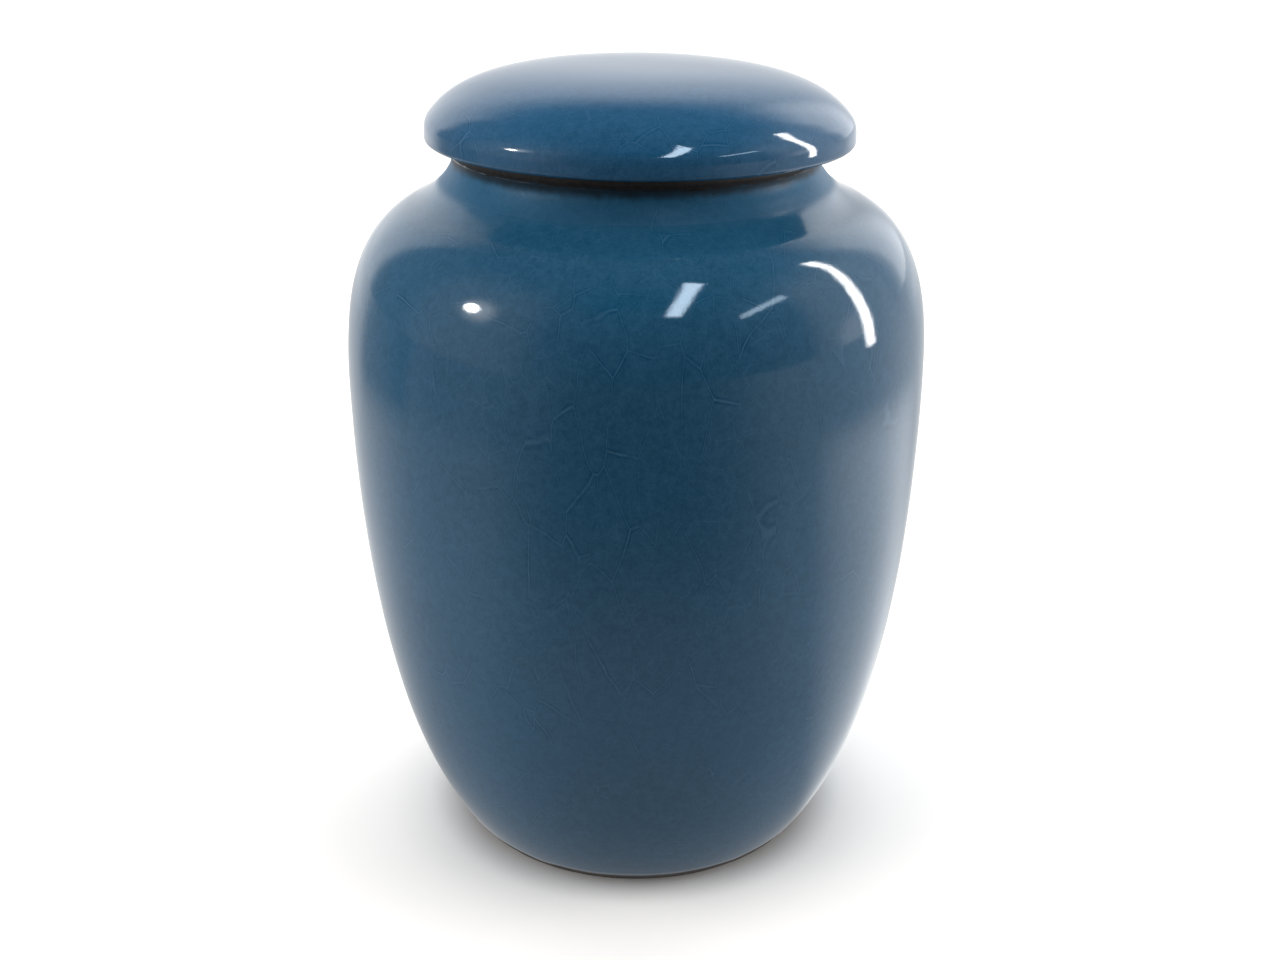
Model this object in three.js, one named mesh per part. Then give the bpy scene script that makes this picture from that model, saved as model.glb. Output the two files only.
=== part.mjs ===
// A lidded funeral urn in glazed stoneware: a full-bellied jar on a foot ring, and a low domed lid.
// Millimetres, +Z up, with the origin in the middle of the foot's underside.
import * as THREE from 'three';

// The jar's outside, from the foot up. Radii are at the outside of the wall.
const footRadius = 59.7;
const bellyRadius = 90;
const bellyHeight = 153;      // the widest level, above the table
const shoulderRise = 54.6;    // from the widest level to where the shoulder starts to turn up
const neckRadius = 55.6;      // the narrowest level, under the rim
const neckCurveWidth = 12.5;  // how far the hollow curve reaches out onto the shoulder
const neckCurveHeight = 13;
const rimFlare = 1.6;         // how far the rim stands out past the neck
const rimHeight = 5.3;        // from the narrowest level to the top of the rim

// Slopes of the outside, in degrees from straight up.
const footSlope = 35.8;
const shoulderSlope = -64.8;

// How far each curve holds its direction at its two ends, as shares of the distance it spans.
const footHold = 0.31;
const bellyHoldBelow = 0.2;
const bellyHoldAbove = 0.61;
const shoulderHold = 0.245;
const neckHoldBelow = 0.43;
const neckHoldAbove = 0.27;

// The jar's clay.
const wall = 6;
const floorThickness = 7;
const floorCornerHeight = 12; // height over which the inside rounds from the wall to the floor
const rimRounding = 1.4;
const footRingWidth = 9;
const footRecess = 3;         // depth of the hollow inside the foot ring
const footBevel = 1.1;

// The lid. It rests on the rim, and its flange drops into the mouth.
const lidOverhang = 7.5;      // past the rim all round
const lidRise = 22.2;         // from the rim to the top of the crown
const lidEdgeRounding = 1.6;
const lidEdgeHold = 13.8;     // height over which the lid's side stays nearly upright
const crownHold = 43;         // radius over which the crown stays nearly flat
const lidWall = 6;
const flangeDepth = 8;
const flangeWidth = 5.5;
const flangeRounding = 1.5;
const mouthClearance = 2;     // slack between the flange and the mouth

// Facets around both pieces.
const facets = 48;

// What follows from those sizes.
const shoulderRadius = neckRadius + neckCurveWidth;
const shoulderHeight = bellyHeight + shoulderRise;
const neckHeight = shoulderHeight + neckCurveHeight;
const jarHeight = neckHeight + rimHeight;
const rimRadius = neckRadius + rimFlare;
const mouthRadius = neckRadius - wall;
const floorHeight = footRecess + floorThickness;
const lidRadius = rimRadius + lidOverhang;
const flangeRadius = mouthRadius - mouthClearance;
const lidShift = 0.6 * mouthClearance; // the lid lies to one side of its slack

const point = (radius, height) => new THREE.Vector2(radius, height);

// The direction that leans outward from straight up by a number of degrees.
function slope(degrees) {
  const angle = THREE.MathUtils.degToRad(degrees);
  return point(Math.sin(angle), Math.cos(angle));
}

// Points of a smooth curve that leaves one end in a direction and arrives at the other in its own.
function blend(start, startDirection, startReach, end, endDirection, endReach, steps) {
  const firstHandle = start.clone().addScaledVector(startDirection, startReach);
  const lastHandle = end.clone().addScaledVector(endDirection, -endReach);
  return new THREE.CubicBezierCurve(start, firstHandle, lastHandle, end).getPoints(steps);
}

// The same, with the two reaches given as shares of the distance between the ends.
function blendByShare(start, startDirection, startShare, end, endDirection, endShare, steps) {
  const span = start.distanceTo(end);
  return blend(start, startDirection, startShare * span, end, endDirection, endShare * span, steps);
}

// A quarter round from one point to another, leaving along the first direction.
function quarterRound(start, direction, end, steps) {
  const along = end.clone().sub(start).dot(direction);
  const turn = end.clone().sub(start).addScaledVector(direction, -along);
  const points = [];
  for (let step = 0; step <= steps; step += 1) {
    const angle = (step / steps) * Math.PI / 2;
    points.push(start.clone()
      .addScaledVector(direction, along * Math.sin(angle))
      .addScaledVector(turn, 1 - Math.cos(angle)));
  }
  return points;
}

// A row of points moved sideways, to its left, by the thickness of the clay.
function offsetToLeft(points, distance) {
  return points.map((here, index) => {
    const before = points[Math.max(index - 1, 0)];
    const after = points[Math.min(index + 1, points.length - 1)];
    const along = after.clone().sub(before).normalize();
    return point(here.x - along.y * distance, here.y + along.x * distance);
  });
}

// The part of a rising row of points that lies above a height, started exactly at that height.
function cutAbove(points, height) {
  const first = points.findIndex((here) => here.y > height);
  const below = points[first - 1];
  const share = (height - below.y) / (points[first].y - below.y);
  return [below.clone().lerp(points[first], share), ...points.slice(first)];
}

// Several rows of points joined into one, with the repeated ends left out.
function join(...rows) {
  const joined = [];
  for (const next of rows.flat()) {
    const last = joined[joined.length - 1];
    if (!last || last.distanceTo(next) > 1e-6) joined.push(next);
  }
  return joined;
}

// A closed solid from a profile that starts and ends on the axis, turned to stand along +Z.
function revolve(profile) {
  const geometry = new THREE.LatheGeometry(profile, facets);
  geometry.rotateX(Math.PI / 2);
  return geometry;
}

const up = point(0, 1);
const down = point(0, -1);
const outward = point(1, 0);
const inward = point(-1, 0);

// The outside of the jar's wall, from the top of the foot's bevel to the narrowest level.
function outerWall() {
  const foot = point(footRadius, footBevel);
  const belly = point(bellyRadius, bellyHeight);
  const shoulder = point(shoulderRadius, shoulderHeight);
  const neck = point(neckRadius, neckHeight);
  return join(
    blendByShare(foot, slope(footSlope), footHold, belly, up, bellyHoldBelow, 10),
    blendByShare(belly, up, bellyHoldAbove, shoulder, slope(shoulderSlope), shoulderHold, 10),
    blendByShare(shoulder, slope(shoulderSlope), neckHoldBelow, neck, up, neckHoldAbove, 6),
  );
}

// The foot ring's underside, from the middle of the recess out to the bevel.
function underside() {
  const ringInside = footRadius - footRingWidth;
  return join([
    point(0, footRecess),
    point(ringInside - footRecess, footRecess),
    point(ringInside, 0),
    point(footRadius - footBevel, 0),
    point(footRadius, footBevel),
  ]);
}

// The rim, from the narrowest level over the top to the mouth.
function rim() {
  const neck = point(neckRadius, neckHeight);
  const lip = point(rimRadius, jarHeight - rimRounding);
  const seatOutside = point(rimRadius - rimRounding, jarHeight);
  const seatInside = point(mouthRadius + rimRounding, jarHeight);
  const mouth = point(mouthRadius, jarHeight - rimRounding);
  return join(
    blendByShare(neck, up, 0.4, lip, up, 0.5, 3),
    quarterRound(lip, up, seatOutside, 2),
    quarterRound(seatInside, inward, mouth, 2),
  );
}

// The inside of the jar, from the mouth down the wall to the middle of the floor.
function innerWall() {
  const cornerTopHeight = floorHeight + floorCornerHeight;
  const lining = cutAbove(offsetToLeft(outerWall(), wall), cornerTopHeight).reverse();
  const cornerTop = lining[lining.length - 1];
  const wallDirection = cornerTop.clone().sub(lining[lining.length - 2]).normalize();
  const reach = floorCornerHeight / -wallDirection.y;
  const cornerFoot = point(cornerTop.x + wallDirection.x * reach - reach, floorHeight);
  return join(
    [point(mouthRadius, neckHeight)],
    lining.slice(1),
    blend(cornerTop, wallDirection, reach * 0.55, cornerFoot, inward, reach * 0.55, 4),
    [point(0, floorHeight)],
  );
}

// The lid's outside, from the seat over the rounded edge to the top of the crown.
// Heights of the lid are above the rim.
function crown() {
  const seat = point(lidRadius - lidEdgeRounding, 0);
  const edge = point(lidRadius, lidEdgeRounding);
  const top = point(0, lidRise);
  return join(
    quarterRound(seat, outward, edge, 3),
    blend(edge, up, lidEdgeHold, top, inward, crownHold, 11),
  );
}

// The lid's underside, from the middle of the hollow down the flange and out to the seat.
function lidUnderside() {
  const flangeInside = flangeRadius - flangeWidth;
  const flangeBottom = -flangeDepth;
  const ceiling = lidRise - lidWall;
  const hollowEdge = point(flangeInside, 0);
  return join(
    blend(point(0, ceiling), outward, flangeInside * 0.75, hollowEdge, down, ceiling * 0.6, 7),
    [point(flangeInside, flangeBottom + flangeRounding)],
    quarterRound(point(flangeInside, flangeBottom + flangeRounding), down,
      point(flangeInside + flangeRounding, flangeBottom), 2),
    quarterRound(point(flangeRadius - flangeRounding, flangeBottom), outward,
      point(flangeRadius, flangeBottom + flangeRounding), 2),
    [point(flangeRadius, 0)],
  );
}

const glaze = new THREE.MeshStandardMaterial({ color: 0x2d5578, roughness: 0.12, metalness: 0 });

const jar = new THREE.Mesh(
  revolve(join(underside(), outerWall(), rim(), innerWall())),
  glaze,
);
jar.name = 'urn_body';

const lid = new THREE.Mesh(revolve(join(lidUnderside(), crown())), glaze.clone());
lid.name = 'lid';
lid.position.set(lidShift, 0, jarHeight);

const urn = new THREE.Group();
urn.add(jar, lid);

export default urn;
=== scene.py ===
import math

import bpy
import numpy as np
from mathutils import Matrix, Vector


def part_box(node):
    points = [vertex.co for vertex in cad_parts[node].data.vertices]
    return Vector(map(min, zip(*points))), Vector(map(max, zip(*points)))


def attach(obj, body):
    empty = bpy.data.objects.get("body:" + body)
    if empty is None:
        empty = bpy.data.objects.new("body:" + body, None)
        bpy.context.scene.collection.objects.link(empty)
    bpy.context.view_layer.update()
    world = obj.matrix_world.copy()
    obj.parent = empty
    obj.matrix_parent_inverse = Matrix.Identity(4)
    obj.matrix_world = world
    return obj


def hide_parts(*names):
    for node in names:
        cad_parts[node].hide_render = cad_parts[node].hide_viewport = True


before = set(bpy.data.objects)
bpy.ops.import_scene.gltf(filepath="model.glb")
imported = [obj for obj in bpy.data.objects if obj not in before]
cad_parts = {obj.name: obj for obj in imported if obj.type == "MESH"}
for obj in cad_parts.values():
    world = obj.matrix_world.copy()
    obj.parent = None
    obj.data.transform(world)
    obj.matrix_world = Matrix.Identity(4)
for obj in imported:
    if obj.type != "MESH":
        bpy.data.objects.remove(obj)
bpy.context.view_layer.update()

MM = 0.001

# What the frame gives: the widest radii, the level where the lid rests, and where the lid lies.
jar_low, jar_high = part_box("urn_body")
lid_low, lid_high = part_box("lid")
BELLY_RADIUS = (jar_high.x - jar_low.x) / 2
LID_RADIUS = (lid_high.x - lid_low.x) / 2
LID_CENTRE = (lid_high.x + lid_low.x) / 2
SEAT_HEIGHT = jar_high.z
LID_RISE = lid_high.z - SEAT_HEIGHT

# The jar's outside, from the foot up.
FOOT_RADIUS = 59.7 * MM
BELLY_HEIGHT = 153 * MM
NECK_RADIUS = 55.6 * MM
NECK_HEIGHT = SEAT_HEIGHT - 5.3 * MM
RIM_RADIUS = NECK_RADIUS + 1.6 * MM
SHOULDER = (NECK_RADIUS + 12.5 * MM, NECK_HEIGHT - 13 * MM)
FOOT_SLOPE = math.radians(35.8)
SHOULDER_SLOPE = math.radians(-64.8)

# How far each curve of the jar holds its direction at its two ends, as shares of the distance it
# spans. A round corner holds it over its own share of its reach.
FOOT_HOLD = 0.31
BELLY_HOLD_BELOW = 0.2
BELLY_HOLD_ABOVE = 0.61
SHOULDER_HOLD = 0.245
NECK_HOLD_BELOW = 0.43
NECK_HOLD_ABOVE = 0.27
RIM_HOLD_BELOW = 0.4
RIM_HOLD_ABOVE = 0.5
ROUND_HOLD = 0.55

# The jar's clay.
WALL = 6 * MM
MOUTH_RADIUS = NECK_RADIUS - WALL
FOOT_RECESS = 3 * MM
FLOOR_HEIGHT = FOOT_RECESS + 7 * MM
FLOOR_CORNER = 12 * MM
FOOT_RING_WIDTH = 9 * MM
FOOT_BEVEL = 1.1 * MM
FOOT_RING_ROUNDING = 0.8 * MM
RIM_ROUNDING = 1.4 * MM

# The lid, with heights above the level where it rests.
LID_WALL = 6 * MM
LID_EDGE_ROUNDING = 1.8 * MM
LID_KNEE = (LID_RADIUS - 3.1 * MM, 9.7 * MM)
LID_KNEE_SLOPE = math.radians(-43.3)
LID_EDGE_HOLD = 0.52
LID_KNEE_HOLD_BELOW = 0.43
LID_KNEE_HOLD_ABOVE = 0.26
CROWN_HOLD = 0.41
HOLLOW_HOLD_AT_THE_TOP = 0.75
HOLLOW_HOLD_AT_THE_FLANGE = 0.6
FLANGE_DEPTH = 8 * MM
FLANGE_RADIUS = MOUTH_RADIUS - 2 * MM
FLANGE_WIDTH = 5.5 * MM
FLANGE_ROUNDING = 1.5 * MM
FLANGE_ROOT = 0.4 * MM

# Where the glaze ends: a little above the foot, under the rim outside and in, and on the lid's edge.
FOOT_GLAZE_HEIGHT = 1.3 * MM
NECK_GLAZE_HEIGHT = NECK_HEIGHT + 1.2 * MM
MOUTH_GLAZE_HEIGHT = SEAT_HEIGHT - 3 * MM
GLAZE_THICKNESS = 0.3 * MM

# How far the glaze's ragged edge strays on each piece, how many waves it makes around the turn, how
# fast the shorter ones get smaller, and about how high they all stand together.
JAR_EDGE_WANDER = 0.35 * MM
LID_EDGE_WANDER = 0.3 * MM
EDGE_WAVES = range(2, 70)
EDGE_WAVES_FALLING_OFF = 0.6
EDGE_WAVES_TOGETHER = 2.2

# How deep the unevenness of the throwing is, how far in from the lid's edge it is there in full, and
# how long its waves are on each piece.
JAR_UNEVENNESS = 0.06 * MM
LID_UNEVENNESS = 0.05 * MM
LID_UNEVENNESS_START = 3 * MM
JAR_WAVES = (22 * MM, 70 * MM)
LID_WAVES = (22 * MM, 60 * MM)
WAVE_COUNT = 26

# How much fuller than the turned form the shoulder is, how much more so on the right, and the
# heights at which it is fullest and starts to fade.
SHOULDER_FULLNESS = 0.6 * MM
FULLER_ON_THE_RIGHT = 0.3
FULLEST_FROM = SHOULDER[1] - 10 * MM
FULLEST_TO = SHOULDER[1] + 8 * MM

# How much a surface faces sideways where it still counts as level, and from where on as upright.
STILL_LEVEL = 0.35
WHOLLY_UPRIGHT = 0.8

# How far in from its edges the glaze runs thin, and how far below the neck it came out dry and its
# blue is painted lighter against the lid's shade, wholly so at first and then less and less.
FOOT_THINNING = 1.2 * MM
NECK_THINNING = 4.6 * MM
LID_THINNING = 1.6 * MM
FULL_DRYNESS_AND_PAINTED_LIGHT_REACH = 5 * MM
DRY_AND_PAINTED_LIGHT_REACH = 20 * MM

# How far the rim and the lid on it are out of level, and over which heights the jar leans into that.
LID_TILT = math.radians(0.6)
TILT_START = 200 * MM

# Points round each turn, and the directions in a profile.
AROUND = 256
UP = (0, 1)
OUT = (1, 0)
IN = (-1, 0)
DOWN = (0, -1)


def slope(angle):
    """The direction in a profile that leans outward from straight up by an angle."""
    return (math.sin(angle), math.cos(angle))


def curve(start, leaving, reach, end, arriving, end_reach, steps):
    """Points of a smooth curve between two points of a profile, with its direction at both ends."""
    start, end = np.array(start), np.array(end)
    first = start + np.array(leaving) * reach
    last = end - np.array(arriving) * end_reach
    t = np.linspace(0, 1, steps + 1)[:, None]
    return ((1 - t) ** 3 * start + 3 * (1 - t) ** 2 * t * first
            + 3 * (1 - t) * t ** 2 * last + t ** 3 * end)


def curve_by_share(start, leaving, share, end, arriving, end_share, steps):
    """The same, with both reaches given as shares of the distance between the ends."""
    span = math.dist(start, end)
    return curve(start, leaving, share * span, end, arriving, end_share * span, steps)


def line(start, end, steps):
    return np.linspace(start, end, steps + 1)


def rounded(start, corner, end, steps=6):
    """A soft corner that leaves one line at start and joins the next one at end."""
    start, corner, end = np.array(start), np.array(corner), np.array(end)
    t = np.linspace(0, 1, steps + 1)[:, None]
    return (1 - t) ** 2 * start + 2 * (1 - t) * t * corner + t ** 2 * end


def join(*rows):
    """Rows of points made into one, with the repeated ends left out."""
    points = np.concatenate(rows)
    moved = np.hypot(*np.diff(points, axis=0).T) > 1e-7
    return points[np.concatenate([[True], moved])]


def outward_normals(profile):
    """The direction that points out of the clay at each point of a profile."""
    along = np.gradient(profile, axis=0)
    along /= np.hypot(*along.T)[:, None]
    return np.stack([along[:, 1], -along[:, 0]], axis=1)


def outer_wall(fineness):
    """The jar's outside, from the top of the foot's rounding to the narrowest level of the neck.

    fineness scales how many points it has."""
    foot = (FOOT_RADIUS, FOOT_BEVEL)
    belly = (BELLY_RADIUS, BELLY_HEIGHT)
    neck = (NECK_RADIUS, NECK_HEIGHT)
    return join(
        curve_by_share(foot, slope(FOOT_SLOPE), FOOT_HOLD,
                       belly, UP, BELLY_HOLD_BELOW, round(100 * fineness)),
        curve_by_share(belly, UP, BELLY_HOLD_ABOVE,
                       SHOULDER, slope(SHOULDER_SLOPE), SHOULDER_HOLD, round(52 * fineness)),
        curve_by_share(SHOULDER, slope(SHOULDER_SLOPE), NECK_HOLD_BELOW,
                       neck, UP, NECK_HOLD_ABOVE, round(26 * fineness)),
    )


def jar_underside():
    """The foot from the middle of its recess out to its rounded edge."""
    ring = FOOT_RADIUS - FOOT_RING_WIDTH
    soft = FOOT_RING_ROUNDING
    recess_edge = (ring - 2 * FOOT_RECESS, FOOT_RECESS)
    ring_inside = (ring - soft, soft)
    ring_flat = (ring + 2 * soft, 0)
    bevel_start = (FOOT_RADIUS - 1.6 * FOOT_BEVEL, 0)
    bevel_corner = (FOOT_RADIUS - 0.5 * FOOT_BEVEL, 0)
    return join(
        line((0, FOOT_RECESS), recess_edge, 14),
        rounded(recess_edge, (ring - FOOT_RECESS, FOOT_RECESS), ring_inside),
        rounded(ring_inside, (ring, 0), ring_flat, 5),
        line(ring_flat, bevel_start, 4),
        rounded(bevel_start, bevel_corner, (FOOT_RADIUS, FOOT_BEVEL)),
    )


def jar_rim():
    """The rim, from the narrowest level over the top to the mouth."""
    lip = (RIM_RADIUS, SEAT_HEIGHT - RIM_ROUNDING)
    seat_outside = (RIM_RADIUS - RIM_ROUNDING, SEAT_HEIGHT)
    seat_inside = (MOUTH_RADIUS + RIM_ROUNDING, SEAT_HEIGHT)
    mouth = (MOUTH_RADIUS, SEAT_HEIGHT - RIM_ROUNDING)
    return join(
        curve_by_share((NECK_RADIUS, NECK_HEIGHT), UP, RIM_HOLD_BELOW, lip, UP, RIM_HOLD_ABOVE, 12),
        rounded(lip, (RIM_RADIUS, SEAT_HEIGHT), seat_outside),
        line(seat_outside, seat_inside, 3),
        rounded(seat_inside, (MOUTH_RADIUS, SEAT_HEIGHT), mouth),
        line(mouth, (MOUTH_RADIUS, NECK_HEIGHT), 4),
    )


def jar_inside():
    """The inside of the wall, from under the mouth down to the middle of the floor."""
    outside = outer_wall(0.5)
    inside = outside - outward_normals(outside) * WALL
    inside = inside[inside[:, 1] > FLOOR_HEIGHT + FLOOR_CORNER][::-1]
    corner = inside[-1]
    falling = (inside[-1] - inside[-2]) / math.dist(inside[-1], inside[-2])
    reach = (corner[1] - FLOOR_HEIGHT) / -falling[1]
    floor_edge = (corner[0] + falling[0] * reach - reach, FLOOR_HEIGHT)
    return join(
        inside[1:],
        curve(corner, falling, reach * ROUND_HOLD, floor_edge, IN, reach * ROUND_HOLD, 10),
        line(floor_edge, (0, FLOOR_HEIGHT), 12),
    )


def lid_underside():
    """The lid's underside, from the middle of its hollow down the flange and out to the edge."""
    inside = FLANGE_RADIUS - FLANGE_WIDTH
    ceiling = LID_RISE - LID_WALL
    bottom = -FLANGE_DEPTH
    soft = FLANGE_ROUNDING
    return join(
        curve((0, ceiling), OUT, inside * HOLLOW_HOLD_AT_THE_TOP,
              (inside, 0), DOWN, ceiling * HOLLOW_HOLD_AT_THE_FLANGE, 30),
        line((inside, 0), (inside, bottom + soft), 4),
        rounded((inside, bottom + soft), (inside, bottom), (inside + soft, bottom)),
        line((inside + soft, bottom), (FLANGE_RADIUS - soft, bottom), 2),
        rounded((FLANGE_RADIUS - soft, bottom), (FLANGE_RADIUS, bottom), (FLANGE_RADIUS, bottom + soft)),
        line((FLANGE_RADIUS, bottom + soft), (FLANGE_RADIUS, -FLANGE_ROOT), 4),
        rounded((FLANGE_RADIUS, -FLANGE_ROOT), (FLANGE_RADIUS, 0), (FLANGE_RADIUS + FLANGE_ROOT, 0), 3),
        line((FLANGE_RADIUS + FLANGE_ROOT, 0), (LID_RADIUS - LID_EDGE_ROUNDING, 0), 10),
    )


def lid_crown():
    """The lid's outside, over the rounded edge to the top of the crown."""
    soft = LID_EDGE_ROUNDING
    edge = (LID_RADIUS, soft)
    return join(
        rounded((LID_RADIUS - soft, 0), (LID_RADIUS, 0), edge, 12),
        curve_by_share(edge, UP, LID_EDGE_HOLD,
                       LID_KNEE, slope(LID_KNEE_SLOPE), LID_KNEE_HOLD_BELOW, 50),
        curve_by_share(LID_KNEE, slope(LID_KNEE_SLOPE), LID_KNEE_HOLD_ABOVE,
                       (0, LID_RISE), IN, CROWN_HOLD, 110),
    )


def distance_along(profile):
    """How far each point of a profile lies along it from its start."""
    return np.concatenate([[0], np.cumsum(np.hypot(*np.diff(profile, axis=0).T))])


def smooth_step(low, high, value):
    """Goes smoothly from 0 to 1 as the value goes from low to high."""
    t = np.clip((value - low) / (high - low), 0, 1)
    return t * t * (3 - 2 * t)


def swell(points, seed, wave_lengths):
    """A gentle unevenness between -1 and 1: slow waves in many directions through space."""
    random = np.random.default_rng(seed)
    shortest, longest = wave_lengths
    total = np.zeros(len(points))
    for _ in range(WAVE_COUNT):
        direction = random.normal(size=3)
        direction /= np.linalg.norm(direction)
        length = random.uniform(shortest, longest)
        total += np.sin(points @ direction * (2 * math.pi / length) + random.uniform(0, 2 * math.pi))
    return np.clip(total / math.sqrt(2 * WAVE_COUNT), -1, 1)


def wander(angle, seed, depth):
    """A ragged line around the turn: how far it strays at each angle."""
    random = np.random.default_rng(seed)
    total = np.zeros_like(angle)
    for waves in EDGE_WAVES:
        size = 1 / waves ** EDGE_WAVES_FALLING_OFF
        total += size * np.sin(waves * angle + random.uniform(0, 2 * math.pi))
    return depth * total / EDGE_WAVES_TOGETHER


def turned(name, profile, shape):
    """A mesh turned from a profile that starts and ends on the axis.

    shape takes the points, their angles and their rows, and gives the moved points and what the
    material is told about each of them, by name."""
    turn = np.arange(AROUND) / AROUND * 2 * math.pi
    rows = profile[1:-1]
    radius = np.repeat(rows[:, 0], AROUND)
    height = np.repeat(rows[:, 1], AROUND)
    angle = np.tile(turn, len(rows))
    row = np.repeat(np.arange(1, len(profile) - 1), AROUND)
    points = np.stack([radius * np.cos(angle), radius * np.sin(angle), height], axis=1)
    ends = np.array([[0, 0, profile[0, 1]], [0, 0, profile[-1, 1]]])
    points = np.concatenate([points, ends])
    angle = np.concatenate([angle, [0, 0]])
    row = np.concatenate([row, [0, len(profile) - 1]])
    points, told = shape(points, angle, row)

    first, last = len(rows) * AROUND, len(rows) * AROUND + 1
    faces = []
    for i in range(AROUND):
        j = (i + 1) % AROUND
        faces.append((first, j, i))
        top = (len(rows) - 1) * AROUND
        faces.append((last, top + i, top + j))
        for k in range(len(rows) - 1):
            here, above = k * AROUND, (k + 1) * AROUND
            faces.append((here + i, here + j, above + j, above + i))
    mesh = bpy.data.meshes.new(name)
    mesh.from_pydata(points.tolist(), [], faces)
    for label, values in told.items():
        attribute = mesh.attributes.new(label, "FLOAT", "POINT")
        attribute.data.foreach_set("value", values.astype(np.float32))
    mesh.shade_smooth()
    mesh.update()
    piece = bpy.data.objects.new(name, mesh)
    bpy.context.scene.collection.objects.link(piece)
    return piece


def turned_outward(normals, row, angle):
    """The directions out of the clay of the turned points, from those of their profile."""
    across, upward = normals[row].T
    return np.stack([across * np.cos(angle), across * np.sin(angle), upward], axis=1)


def tilted(points, amount):
    """Points turned about the seat's middle by a share of the lid's tilt."""
    height = points[:, 2] - SEAT_HEIGHT
    angle = LID_TILT * amount
    moved = points.copy()
    moved[:, 0] += height * np.sin(angle)
    moved[:, 2] -= points[:, 0] * np.sin(angle)
    return moved


def make_jar():
    """The jar, with bare clay under the foot and over the rim, and glaze outside and in."""
    profile = join(jar_underside(), outer_wall(1), jar_rim(), jar_inside())
    radius, height = profile.T
    along = distance_along(profile)
    outside_top = np.argmax(height >= SEAT_HEIGHT - 1e-9)
    foot_line = along[np.argmax((radius > FOOT_RADIUS - FOOT_BEVEL) & (height > FOOT_GLAZE_HEIGHT))]
    neck_line = along[np.argmax(height > NECK_GLAZE_HEIGHT)]
    mouth_line = along[outside_top + np.argmax(height[outside_top:] < MOUTH_GLAZE_HEIGHT)]
    above_foot = along - foot_line
    below_neck = neck_line - along
    past_mouth = along - mouth_line
    on_outside = (below_neck > 0) & (above_foot > 0)
    cover_here = np.maximum(np.minimum(above_foot, below_neck), past_mouth)
    at_foot = smooth_step(0, FOOT_THINNING, above_foot)
    at_neck = smooth_step(0, NECK_THINNING, below_neck)
    at_mouth = smooth_step(0, FOOT_THINNING, past_mouth)
    thickness_here = np.where(on_outside, at_foot * at_neck, at_mouth)
    # Where the glaze came out dry below the neck, which is also where its blue gets painted light.
    dryness_and_painted_light_here = np.where(on_outside, 1 - smooth_step(FULL_DRYNESS_AND_PAINTED_LIGHT_REACH, DRY_AND_PAINTED_LIGHT_REACH, below_neck), 0)
    fullness_here = (smooth_step(BELLY_HEIGHT, FULLEST_FROM, height)
                     * (1 - smooth_step(FULLEST_TO, NECK_HEIGHT, height)) * on_outside)
    normals = outward_normals(profile)

    def shape(points, angle, row):
        cover = cover_here[row] + wander(angle, seed=3, depth=JAR_EDGE_WANDER)
        upright = smooth_step(STILL_LEVEL, WHOLLY_UPRIGHT, np.abs(normals[row, 0]))
        bare = (1 - smooth_step(-GLAZE_THICKNESS, 3 * GLAZE_THICKNESS, cover)) * upright
        uneven = JAR_UNEVENNESS * (1 + swell(points, seed=5, wave_lengths=JAR_WAVES)) * upright
        fullness = SHOULDER_FULLNESS * (1 + FULLER_ON_THE_RIGHT * np.cos(angle)) * fullness_here[row]
        inward = GLAZE_THICKNESS * bare + uneven - fullness
        points = points - turned_outward(normals, row, angle) * inward[:, None]
        told = {"cover": cover, "thickness": thickness_here[row], "dryness_and_painted_light": dryness_and_painted_light_here[row]}
        return tilted(points, smooth_step(TILT_START, SEAT_HEIGHT, points[:, 2])), told

    return turned("glazed_jar", profile, shape)


def make_lid():
    """The lid, glazed over its crown and bare underneath."""
    profile = join(lid_underside(), lid_crown())
    along = distance_along(profile)
    edge_row = np.argmax(profile[:, 0] > LID_RADIUS - LID_EDGE_ROUNDING + 1e-6)
    cover_here = along - along[edge_row]
    normals = outward_normals(profile)

    def shape(points, angle, row):
        cover = cover_here[row] + wander(angle, seed=4, depth=LID_EDGE_WANDER)
        glazed = smooth_step(0, LID_UNEVENNESS_START, cover_here[row])
        inward = LID_UNEVENNESS * (1 + swell(points, seed=6, wave_lengths=LID_WAVES)) * glazed
        points = points - turned_outward(normals, row, angle) * inward[:, None]
        points = points + np.array([LID_CENTRE, 0, SEAT_HEIGHT])
        told = {"cover": cover, "thickness": smooth_step(0, LID_THINNING, cover_here[row]),
                "dryness_and_painted_light": np.zeros(len(points))}
        return tilted(points, 1.0), told

    return turned("glazed_lid", profile, shape)


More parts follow.
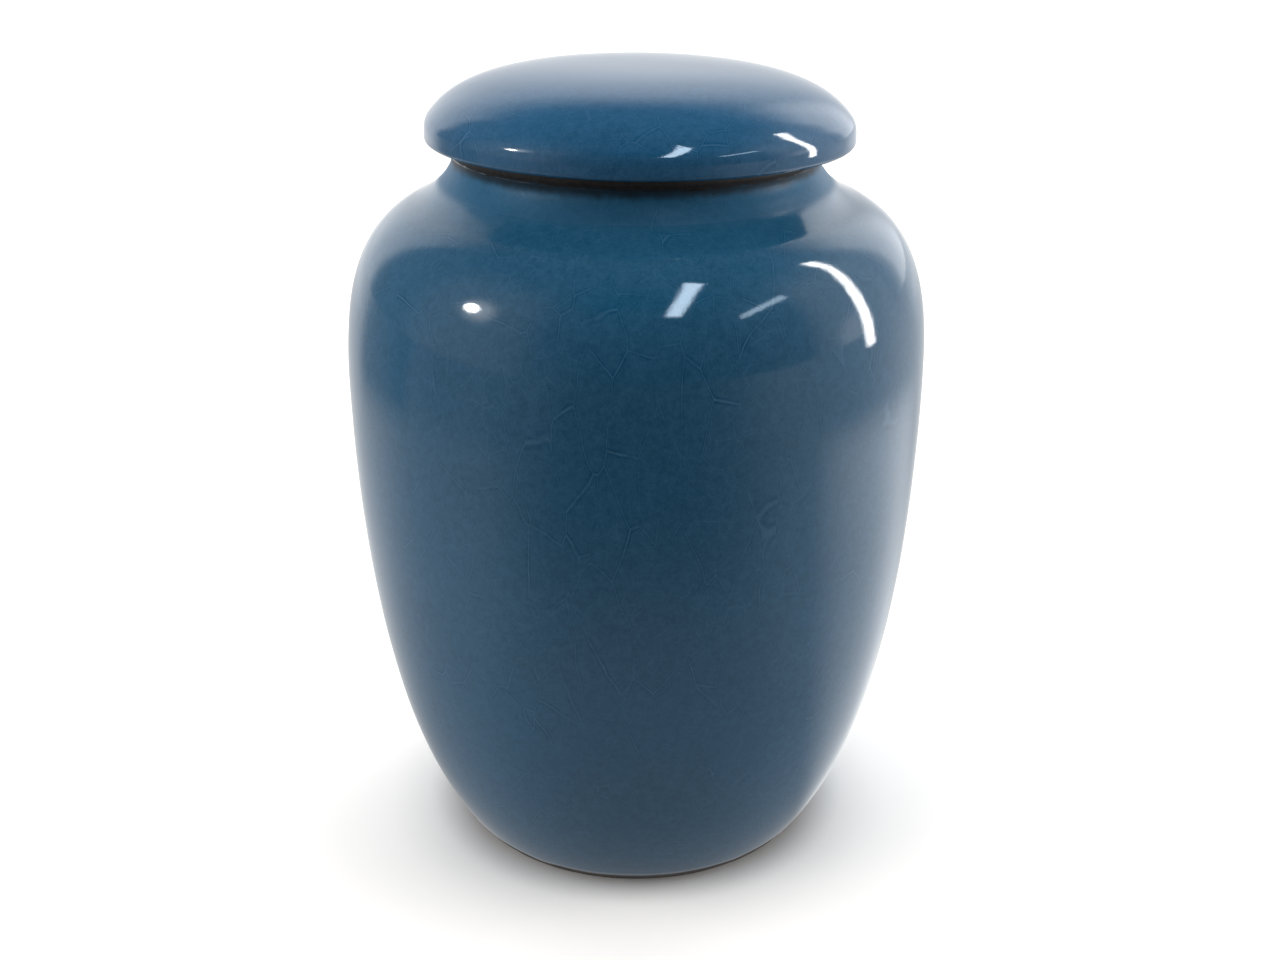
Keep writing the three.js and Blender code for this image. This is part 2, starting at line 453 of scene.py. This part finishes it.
class Nodes:
    """Makes and joins the nodes of one node tree."""

    def __init__(self, tree):
        self.tree = tree

    def node(self, kind, inputs=None, **settings):
        made = self.tree.nodes.new("ShaderNode" + kind)
        for name, value in settings.items():
            setattr(made, name, value)
        for name, value in (inputs or {}).items():
            self.feed(made.inputs[name], value)
        return made

    def feed(self, socket, value):
        if isinstance(value, bpy.types.NodeSocket):
            self.tree.links.new(value, socket)
        else:
            socket.default_value = value

    def math(self, operation, *values):
        return self.node("Math", dict(enumerate(values)), operation=operation).outputs[0]

    def vector(self, operation, *values):
        made = self.node("VectorMath", dict(enumerate(values)), operation=operation)
        return made.outputs["Value" if operation == "DOT_PRODUCT" else "Vector"]

    def fade(self, value, low, high, to_low=0.0, to_high=1.0):
        """Goes smoothly from one value to another as the input goes from low to high."""
        made = self.node("MapRange", {"Value": value, "From Min": low, "From Max": high,
                                      "To Min": to_low, "To Max": to_high},
                         interpolation_type="SMOOTHSTEP")
        return made.outputs["Result"]

    def lobe(self, direction, azimuth, outer, inner):
        """Rises from 0 to 1 as a direction nears an azimuth, from one angle off it to another."""
        facing = self.vector("DOT_PRODUCT", direction, heading(azimuth))
        return self.fade(facing, math.cos(math.radians(outer)), math.cos(math.radians(inner)))

    def mix(self, share, first, second):
        """One colour turned into another by a share."""
        made = self.node("Mix", data_type="RGBA")
        share_socket, first_socket, second_socket = 0, 6, 7
        self.feed(made.inputs[share_socket], share)
        self.feed(made.inputs[first_socket], first)
        self.feed(made.inputs[second_socket], second)
        return made.outputs[2]

    def scaled(self, colour, amount):
        """A colour made stronger or weaker by an amount."""
        made = self.node("VectorMath", {0: colour[:3], "Scale": amount}, operation="SCALE")
        return made.outputs["Vector"]

    def noise(self, vector, scale, detail=2.0, roughness=0.5):
        """Cloudy noise between 0 and 1 with a number of waves in each metre."""
        made = self.node("TexNoise", {"Vector": vector, "Scale": scale, "Detail": detail,
                                      "Roughness": roughness})
        return made.outputs[0]


def colour(red, green, blue):
    return (red, green, blue, 1.0)


WHITE = colour(1, 1, 1)
JAR_BLUE = colour(0.0137, 0.0712, 0.137)
# The lid's blue is painted a little lighter and bluer than the jar's: painted light, for the bluish light
# that falls on the lid from above.
LID_BLUE_WITH_PAINTED_LIGHT = colour(0.0145, 0.0745, 0.153)
CLAY = colour(0.018, 0.011, 0.007)
THIN_GLAZE = colour(0.010, 0.024, 0.038)
SPECKLE = colour(0.038, 0.082, 0.150)
# The crackle's colour, which also paints the shade beside its wide lines.
CRACKLE_AND_RELIEF_SHADE = colour(0.014, 0.023, 0.030)

# How much lighter the blue is painted below the neck, against the lid's shade, and how strong its
# mottling is.
PAINTED_LIGHT_BELOW_THE_NECK = 0.45
MOTTLING = 0.06

# The gloss of the glaze, what changes in it where the glaze came out dry, and the bare clay's.
GLOSSY_ROUGHNESS = 0.055
DRY_ROUGHNESS_GAIN = 0.36
CLAY_ROUGHNESS = 0.6
GLOSSY_SPECULAR = 0.5
DRY_SPECULAR_LOSS = 0.36
GLAZE_IOR = 1.5

# The crackle's cells in each metre, sideways and upward, how far its lines sway, the half widths of
# its lines as shares of a cell, and how strong the finer ones are.
WIDE_CELLS = (105.0, 105.0, 36.0)
FINE_CELLS = (230.0, 230.0, 140.0)
SWAY = (0.003, 0.003, 0.003)
WIDE_LINE = 0.017
FINE_LINE = 0.04
FINE_LINE_STRENGTH = 0.5

# How deep the finest relief is: waves like orange peel, leathery grain, the crackle's grooves and
# the bare clay's roughness.
PEEL_DEPTH = 0.013 * MM
LEATHER_DEPTH = 0.010 * MM
GROOVE_DEPTH = 0.0016 * MM
CLAY_DEPTH = 0.12 * MM


def cell_edges(n, place, cells):
    """How far a point is from the nearest edge of a net of cells, as a share of a cell."""
    stretched = n.vector("MULTIPLY", place, cells)
    net = n.node("TexVoronoi", {"Vector": stretched, "Scale": 1.0}, feature="DISTANCE_TO_EDGE")
    return net.outputs[0]


def crackle_lines(n, place):
    """The crackle: a wide net of tall cells, and a finer net inside it here and there.

    Beside each line of the wide net runs a fainter painted shade of the opposite tone, for the light
    and shade on the line's relief."""
    sway = n.node("TexNoise", {"Vector": place, "Scale": 60.0, "Detail": 2.0}).outputs["Color"]
    bent = n.vector("MULTIPLY_ADD", sway, SWAY, place)
    wide = cell_edges(n, bent, WIDE_CELLS)
    close = cell_edges(n, bent, FINE_CELLS)
    shown = n.noise(place, 40)
    # Painted shade beside each wide line, of the opposite tone to the line, standing in for the light and
    # shade on its relief.
    painted_relief_shade = n.math("MULTIPLY", n.fade(wide, 0.01, 0.02), n.fade(wide, 0.025, 0.045, -0.6, 0.0))
    wide_line = n.math("ADD", n.fade(wide, 0.0, WIDE_LINE, 1.0, 0.0), painted_relief_shade)
    wide_line = n.math("MULTIPLY", wide_line, n.fade(shown, 0.38, 0.55))
    close_line = n.math("MULTIPLY", n.fade(close, 0.0, FINE_LINE, 1.0, 0.0), n.fade(shown, 0.58, 0.42))
    return n.math("MULTIPLY_ADD", close_line, FINE_LINE_STRENGTH, wide_line)


def glaze_colour(n, place, blue, blotches, dryness_and_painted_light, lines):
    """The full glaze: slow clouds and mottling in the blue, painted light on the blue below the neck where
    the lid shades it, pale grain over it, and the crackle's lines, which are pale in some places and dark
    in others, with a fainter painted shade of the opposite tone beside the wide ones."""
    tone = n.fade(n.noise(place, 22, 3), 0.3, 0.7, 0.95, 1.05)
    tone = n.math("MULTIPLY_ADD", blotches, MOTTLING, tone)
    # Painted light: the blue is made lighter below the neck, where the lid's overhang shades it.
    tone = n.math("MULTIPLY", tone, n.math("MULTIPLY_ADD", dryness_and_painted_light, PAINTED_LIGHT_BELOW_THE_NECK, 1.0))
    grain = n.math("SUBTRACT", n.noise(place, 360, 4, 1.0), 0.5)
    paleness = n.math("MULTIPLY_ADD", n.noise(place, 70), 3.0, -0.8)
    deep = n.vector("ADD", n.scaled(blue, tone), n.scaled(SPECKLE, grain))
    return n.vector("ADD", deep, n.scaled(CRACKLE_AND_RELIEF_SHADE, n.math("MULTIPLY", lines, paleness)))


def glaze_relief(n, place, lines, bare, fine):
    """The fine unevenness of the surface, as a normal."""
    height = n.math("MULTIPLY", n.noise(place, 260), PEEL_DEPTH)
    height = n.math("MULTIPLY_ADD", n.noise(place, 700, 4, 0.8), LEATHER_DEPTH, height)
    height = n.math("MULTIPLY_ADD", lines, -GROOVE_DEPTH, height)
    height = n.math("MULTIPLY_ADD", bare, n.math("MULTIPLY", fine, CLAY_DEPTH), height)
    return n.node("Bump", {"Height": height, "Distance": 1.0}).outputs[0]


def glaze_material(name, blue):
    """Blue crackle glaze over dark clay.

    The mesh tells how far inside the glaze's edge each point lies (cover), how thick the glaze is
    there (thickness), and how dry it came out, which also marks where its blue gets painted light
    against the lid's shade (dryness)."""
    material = bpy.data.materials.new(name)
    material.use_nodes = True
    n = Nodes(material.node_tree)
    shader = material.node_tree.nodes["Principled BSDF"]
    place = n.node("TexCoord").outputs["Object"]
    cover, thickness, dryness_and_painted_light = (n.node("Attribute", attribute_name=label).outputs["Fac"]
                                 for label in ("cover", "thickness", "dryness_and_painted_light"))

    # The glaze's ragged edge, and the band where it runs thin.
    fine = n.noise(place, 900, 3)
    ragged = n.math("MULTIPLY_ADD", n.math("SUBTRACT", fine, 0.5), 1.2 * MM, cover)
    glazed = n.fade(ragged, -0.1 * MM, 0.2 * MM)
    blotches = n.math("SUBTRACT", n.noise(place, 260, 4, 0.6), 0.5)
    thick = n.fade(n.math("MULTIPLY_ADD", blotches, 0.7, thickness), 0.0, 0.9)

    lines = crackle_lines(n, place)
    body = n.mix(thick, THIN_GLAZE, glaze_colour(n, place, blue, blotches, dryness_and_painted_light, lines))
    clay = n.scaled(CLAY, n.fade(n.noise(place, 500, 4, 0.7), 0.3, 0.7, 0.5, 1.4))
    n.feed(shader.inputs["Base Color"], n.mix(glazed, clay, body))

    matt = n.fade(dryness_and_painted_light, 0.45, 0.9)
    glaze_roughness = n.math("MULTIPLY_ADD", matt, DRY_ROUGHNESS_GAIN, GLOSSY_ROUGHNESS)
    n.feed(shader.inputs["Roughness"], n.fade(glazed, 0.0, 1.0, CLAY_ROUGHNESS, glaze_roughness))
    specular = n.math("MULTIPLY_ADD", matt, -DRY_SPECULAR_LOSS, GLOSSY_SPECULAR)
    n.feed(shader.inputs["Specular IOR Level"], specular)
    shader.inputs["IOR"].default_value = GLAZE_IOR

    bare = n.math("SUBTRACT", 1.0, glazed)
    n.feed(shader.inputs["Normal"], glaze_relief(n, place, lines, bare, fine))
    return material


def heading(azimuth, elevation=0.0):
    """A direction, with azimuth 0 away from the camera, 90 to the right, and degrees upward."""
    a, e = math.radians(azimuth), math.radians(elevation)
    return (math.sin(a) * math.cos(e), math.cos(a) * math.cos(e), math.sin(e))


# The room that the glaze mirrors: an even brightness, of which a share is left overhead, and where
# overhead starts and is reached, as the height of a direction one long.
AMBIENT = 0.28
OVERHEAD_SHARE = 0.3
OVERHEAD_START = 0.62
OVERHEAD_REACHED = 0.92

# Its screens. Each stands round an azimuth, reaches half its width to either side and up to an
# elevation, fades over its softness, and adds its brightness. Angles are in degrees.
SCREENS = (
    # azimuth, half width, side softness, top, top softness, brightness
    (0, 47, 4, 43, 11, 0.80),
    (-34, 13, 9, 30, 14, 0.26),
    (38, 11, 8, 45, 14, 1.05),
    (80, 24, 10, 48, 15, 0.78),
    (-108, 10, 26, 54, 18, 0.40),
    (172, 30, 26, 68, 18, -0.22),
)

# Soft rounds of light about the lamp and the strip: azimuth, elevation, radius and brightness. Each
# is at its full brightness within its core.
GLOWS = (
    (-109.5, 27.5, 13, 3.0),
    (88, 3, 15, 0.9),
)
GLOW_CORE = 3


def surroundings():
    """A node group that gives the room's brightness in a direction."""
    group = bpy.data.node_groups.new("surroundings", "ShaderNodeTree")
    group.interface.new_socket("Direction", in_out="INPUT", socket_type="NodeSocketVector")
    group.interface.new_socket("Brightness", in_out="OUTPUT", socket_type="NodeSocketFloat")
    n = Nodes(group)
    unit = n.vector("NORMALIZE", n.tree.nodes.new("NodeGroupInput").outputs[0])
    level = n.vector("NORMALIZE", n.vector("MULTIPLY", unit, (1.0, 1.0, 0.0)))
    up = n.node("SeparateXYZ", {0: unit}).outputs["Z"]
    total = n.fade(up, OVERHEAD_START, OVERHEAD_REACHED, AMBIENT, AMBIENT * OVERHEAD_SHARE)
    for azimuth, half, softness, top, top_softness, brightness in SCREENS:
        across = n.lobe(level, azimuth, half + softness, max(half - softness, 0))
        low = math.sin(math.radians(top - top_softness))
        high = math.sin(math.radians(top + top_softness))
        upward = n.fade(up, low, high, brightness, 0.0)
        total = n.math("MULTIPLY_ADD", across, upward, total)
    for azimuth, elevation, radius, brightness in GLOWS:
        facing = n.vector("DOT_PRODUCT", unit, heading(azimuth, elevation))
        glow = n.fade(n.math("ARCCOSINE", facing), math.radians(radius), math.radians(GLOW_CORE))
        total = n.math("MULTIPLY_ADD", n.math("MULTIPLY", glow, glow), brightness, total)
    n.feed(n.tree.nodes.new("NodeGroupOutput").inputs[0], total)
    return group


def make_world():
    """White to the camera, and the room's screens to everything else."""
    world = bpy.data.worlds.new("room")
    bpy.context.scene.world = world
    world.use_nodes = True
    n = Nodes(world.node_tree)
    world.node_tree.nodes.clear()
    screens = n.tree.nodes.new("ShaderNodeGroup")
    screens.node_tree = surroundings()
    n.feed(screens.inputs[0], n.node("TexCoord").outputs["Generated"])
    room = n.node("Background", {"Color": WHITE, "Strength": screens.outputs[0]})
    plain = n.node("Background", {"Color": WHITE, "Strength": 1.0})
    seen = n.node("LightPath").outputs["Is Camera Ray"]
    mixed = n.node("MixShader", {0: seen, 1: room.outputs[0], 2: plain.outputs[0]})
    n.feed(n.node("OutputWorld").inputs["Surface"], mixed.outputs[0])


# The table as the glaze mirrors it, a painted glow of light and shade that also lights the urn: its
# brightness behind the urn and in front of it, what painted shade takes straight behind, the share of
# it that a painted shadow leaves close to the foot, the share that painted shade takes far out toward
# the camera, and what the backdrop adds far behind.
TABLE_BEHIND = 0.90
TABLE_IN_FRONT = 0.68
STRAIGHT_BEHIND_LOSS = 0.18
PAINTED_SHADOW_AT_THE_FOOT_SHARE = 0.65
FAR_IN_FRONT_LOSS = 0.85
BACKDROP_GAIN = 0.4

# What the painted bright patch on the right adds near the urn and farther out, the share of it that
# is left beyond, and what painted shade takes away far out to the left and to the back left.
RIGHT_NEAR = 0.62
RIGHT_FAR = 1.08
RIGHT_BEYOND_SHARE = 0.15
LEFT_LOSS = 0.22
BACK_LEFT_LOSS = 0.3

# The matt white that the camera sees: a trace warm, against the blue that the urn throws on it. A
# painted shadow leaves a share of it under the foot, and painted shade takes a little round it, but not
# on the camera's side.
TABLE_WHITE = colour(0.95, 0.93, 0.91)
PAINTED_SHADOW_UNDER_THE_FOOT_SHARE = 0.6
PAINTED_SHADE_ROUND_THE_FOOT = 0.12
CLOSE_SHADE_REACH = 14 * MM
WIDE_SHADE_REACH = 30 * MM


def table_brightness(n, away, level, toward):
    """How bright the table's painted glow is where the urn sees it: painted dark toward the camera, and
    more so farther out, with a painted shadow close to the foot, bright behind and brightest to the right.

    It takes the distance from the urn, the direction from it, and how far that is toward the camera."""
    round_about = n.math("ADD", n.fade(toward, -0.5, 0.2, TABLE_BEHIND, TABLE_IN_FRONT),
                         n.fade(toward, -1.0, -0.75, -STRAIGHT_BEHIND_LOSS, 0.0))
    # A painted shadow on the glow close round the foot.
    near = n.fade(away, 0.02, 0.24, PAINTED_SHADOW_AT_THE_FOOT_SHARE, 1.0)
    dark = n.math("MULTIPLY", n.fade(toward, 0.5, 1.0), n.fade(away, 0.03, 0.42, 0.0, FAR_IN_FRONT_LOSS))
    total = n.math("MULTIPLY", n.math("MULTIPLY", round_about, near), n.math("SUBTRACT", 1.0, dark))
    to_right = n.math("MULTIPLY", n.lobe(level, 81, 38, 6), n.fade(away, 0.2, 0.42, RIGHT_NEAR, RIGHT_FAR))
    total = n.math("MULTIPLY_ADD", to_right, n.fade(away, 0.42, 0.6, 1.0, RIGHT_BEYOND_SHARE), total)
    to_left = n.math("MULTIPLY", n.lobe(level, -95, 50, 30), -LEFT_LOSS)
    to_left = n.math("MULTIPLY_ADD", n.lobe(level, -70, 22, 12), -BACK_LEFT_LOSS, to_left)
    total = n.math("MULTIPLY_ADD", to_left, n.fade(away, 0.4, 0.66), total)
    backdrop = n.math("MULTIPLY", n.fade(toward, -0.8, -0.6, 1.0, 0.0), n.fade(away, 0.6, 1.5))
    return n.math("MULTIPLY_ADD", backdrop, BACKDROP_GAIN, total)


def table_white(n, away, toward):
    """The table's white, with a painted shadow close round the foot and a wider painted shade
    beside and behind.
    """
    not_in_front = n.fade(toward, 0.55, 0.95, 1.0, 0.0)
    fading = n.fade(away, FOOT_RADIUS, FOOT_RADIUS + WIDE_SHADE_REACH, PAINTED_SHADE_ROUND_THE_FOOT, 0.0)
    painted_close_shadow = n.fade(away, FOOT_RADIUS - 3 * MM, FOOT_RADIUS + CLOSE_SHADE_REACH,
                         PAINTED_SHADOW_UNDER_THE_FOOT_SHARE, 1.0)
    painted_wider_shade = n.math("SUBTRACT", 1.0, n.math("MULTIPLY", not_in_front, fading))
    return n.scaled(TABLE_WHITE, n.math("MULTIPLY", painted_close_shadow, painted_wider_shade))


def make_floor():
    """A white table. The camera sees it matt under the soft lights, with a painted shadow round the foot,
    and everything else sees it as a painted glow of light and shade."""
    reach = 12.0
    mesh = bpy.data.meshes.new("table")
    mesh.from_pydata([(-reach, -reach, 0), (reach, -reach, 0), (reach, reach, 0), (-reach, reach, 0)],
                     [], [(0, 1, 2, 3)])
    table = bpy.data.objects.new("table", mesh)
    bpy.context.scene.collection.objects.link(table)
    material = bpy.data.materials.new("white_table")
    material.use_nodes = True
    n = Nodes(material.node_tree)
    material.node_tree.nodes.clear()
    place = n.node("TexCoord").outputs["Object"]
    away = n.node("VectorMath", {0: place}, operation="LENGTH").outputs["Value"]
    level = n.vector("NORMALIZE", place)
    toward = n.vector("DOT_PRODUCT", level, heading(180))
    matt = n.node("BsdfDiffuse", {"Color": table_white(n, away, toward)})
    glow = n.node("Emission", {"Color": WHITE, "Strength": table_brightness(n, away, level, toward)})
    seen = n.node("LightPath").outputs["Is Camera Ray"]
    mixed = n.node("MixShader", {0: seen, 1: glow.outputs[0], 2: matt.outputs[0]})
    n.feed(n.node("OutputMaterial").inputs["Surface"], mixed.outputs[0])
    mesh.materials.append(material)


# The light that falls on the matt surfaces, as azimuth, elevation, width and strength: broad from
# above and a little behind, and softer from both sides and from the front.
SOFT_LIGHTS = {
    "overhead": (0, 74, 88, 2.6),
    "left_fill": (-99, 16, 60, 2.5),
    "right_fill": (90, 9, 50, 2.95),
    "front_fill": (180, 10, 60, 0.14),
}


def make_soft_lights():
    for name, (azimuth, elevation, width, strength) in SOFT_LIGHTS.items():
        sun = bpy.data.lights.new(name, "SUN")
        sun.energy = strength
        sun.angle = math.radians(width)
        lamp = bpy.data.objects.new(name, sun)
        lamp.rotation_euler = Vector(heading(azimuth, elevation)).to_track_quat("Z", "Y").to_euler()
        lamp.visible_glossy = False
        bpy.context.scene.collection.objects.link(lamp)


# Lamps and windows that show as highlights. Their corners are azimuths and elevations as seen from
# the jar's axis at the height of its shoulder, each panel's at one distance in metres.
HIGHLIGHT_CENTRE = np.array([0, 0, 190 * MM])
DAYLIGHT = colour(0.80, 1.0, 1.2)


def make_highlight(name, distance, corners, brightness, tint):
    """A glowing panel that shows only in what the glaze mirrors."""
    points = [HIGHLIGHT_CENTRE + distance * np.array(heading(*corner)) for corner in corners]
    mesh = bpy.data.meshes.new(name)
    mesh.from_pydata([tuple(p) for p in points], [], [tuple(range(len(points)))])
    panel = bpy.data.objects.new(name, mesh)
    bpy.context.scene.collection.objects.link(panel)
    material = bpy.data.materials.new(name)
    material.use_nodes = True
    material.node_tree.nodes.clear()
    n = Nodes(material.node_tree)
    glow = n.node("Emission", {"Color": tint, "Strength": brightness})
    n.feed(n.node("OutputMaterial").inputs["Surface"], glow.outputs[0])
    mesh.materials.append(material)
    panel.visible_camera = False
    panel.visible_diffuse = False
    panel.visible_shadow = False


def round_lamp(azimuth, elevation, radius):
    """The corners of a round lamp, which looks as wide as it is tall."""
    widening = radius / math.cos(math.radians(elevation))
    return [(azimuth + widening * math.cos(t), elevation + radius * math.sin(t))
            for t in np.linspace(0, 2 * math.pi, 24, endpoint=False)]


def make_highlights():
    window = [(168.2, 38.5), (161.3, 37.8), (153.5, 49), (131, 65), (140, 69.5), (156.5, 57.3)]
    slit = [(136.5, 29.4), (135.3, 32.5), (111, 39), (109.8, 35.8)]
    strip_left = [(80, -5.8), (80.1, 2), (80.5, 10), (80, 19.3), (76.9, 29.9), (71.7, 38.9), (68.6, 45)]
    strip_right = [(72.6, 48.6), (74.5, 46), (76.4, 38.9), (82.3, 29.9), (85.4, 19.3), (86, 10),
                   (85.6, 2), (85.2, -5.6)]
    make_highlight("round_lamp", 1.5, round_lamp(-108.5, 26.4, 3.0), 60, WHITE)
    make_highlight("window", 1.2, window, 14, DAYLIGHT)
    make_highlight("slit", 1.2, slit, 7, DAYLIGHT)
    make_highlight("tall_strip", 1.1, strip_left + strip_right, 22, WHITE)


# The photograph's camera: where it stands, how many degrees it looks down, and its lens and sensor
# in millimetres. The urn stands a few of the picture's pixels left of its middle.
CAMERA_PLACE = (0, -484.3 * MM, 315 * MM)
CAMERA_PITCH = 22.5
FOCAL_LENGTH = 45
SENSOR_WIDTH = 36
PICTURE_WIDTH = 1280
PIXELS_OFF_THE_MIDDLE = 4


def make_camera():
    data = bpy.data.cameras.new("camera")
    data.sensor_width = SENSOR_WIDTH
    data.lens = FOCAL_LENGTH
    data.shift_x = PIXELS_OFF_THE_MIDDLE / PICTURE_WIDTH
    camera = bpy.data.objects.new("camera", data)
    camera.location = CAMERA_PLACE
    camera.rotation_euler = (math.radians(90 - CAMERA_PITCH), 0, 0)
    bpy.context.scene.collection.objects.link(camera)
    bpy.context.scene.camera = camera


jar = make_jar()
jar.data.materials.append(glaze_material("jar_glaze", JAR_BLUE))
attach(jar, "root")
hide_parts("urn_body")

lid = make_lid()
lid.data.materials.append(glaze_material("lid_glaze", LID_BLUE_WITH_PAINTED_LIGHT))
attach(lid, "root")
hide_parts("lid")

make_world()
make_floor()
make_soft_lights()
make_highlights()
make_camera()
bpy.context.scene.view_settings.view_transform = "Standard"
